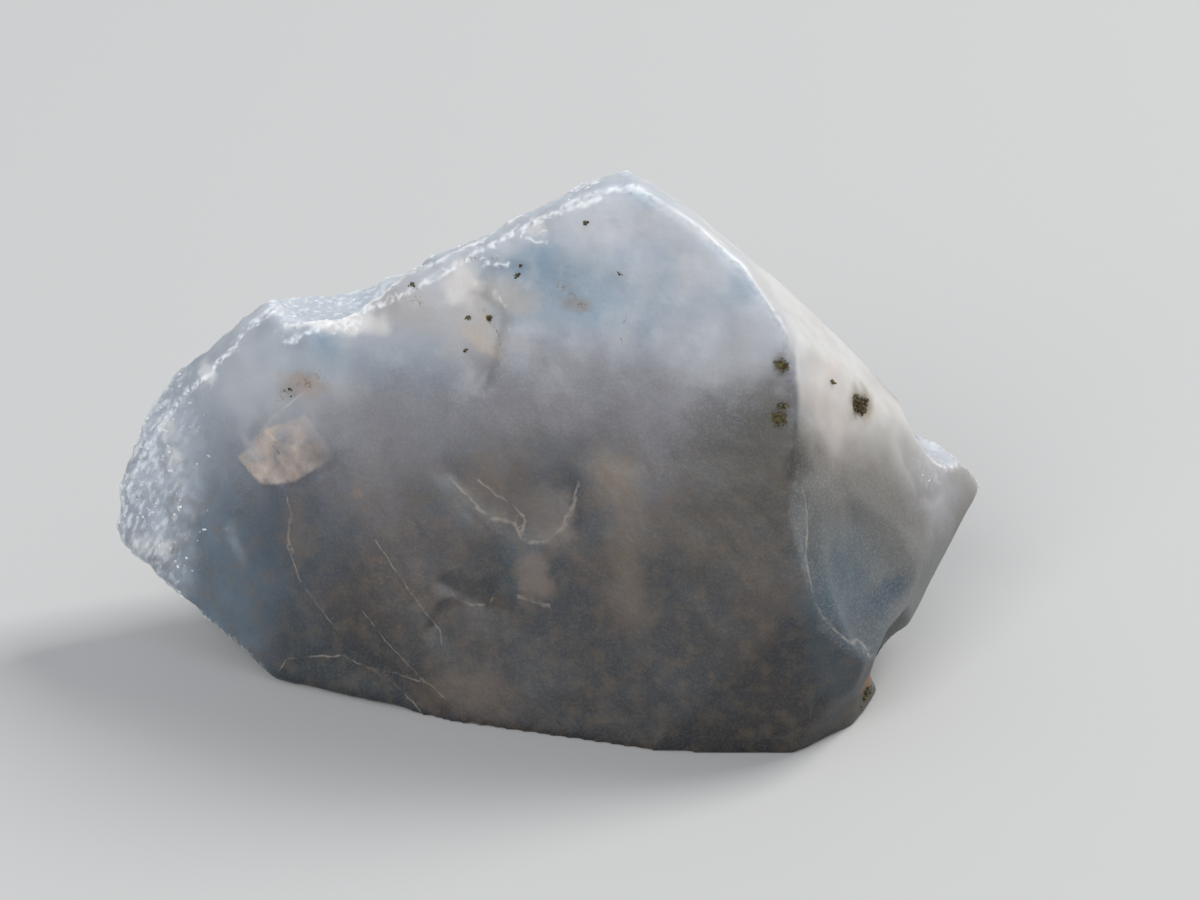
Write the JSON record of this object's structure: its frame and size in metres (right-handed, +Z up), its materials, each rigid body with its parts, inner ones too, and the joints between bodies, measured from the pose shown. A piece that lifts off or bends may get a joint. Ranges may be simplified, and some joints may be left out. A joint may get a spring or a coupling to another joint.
{
  "type": "celestine crystal",
  "caption": "Loose broken piece of a pale blue celestine crystal with a broad fracture face, a ridge and a flat cleavage face to rest on.",
  "frame": {"origin": "under the middle of the piece's box, on the surface it rests on", "axes": "+X along the long side, +Z up, and the broad fracture face looks along -Y"},
  "size_m": [0.0486, 0.0238, 0.0281],
  "materials": {
    "celestine": "pale grey-blue celestine, part clear, with satin fracture faces and crushed white edges"
  },
  "bodies": {
    "root": {"crystal": "celestine"}
  },
  "joints": []
}
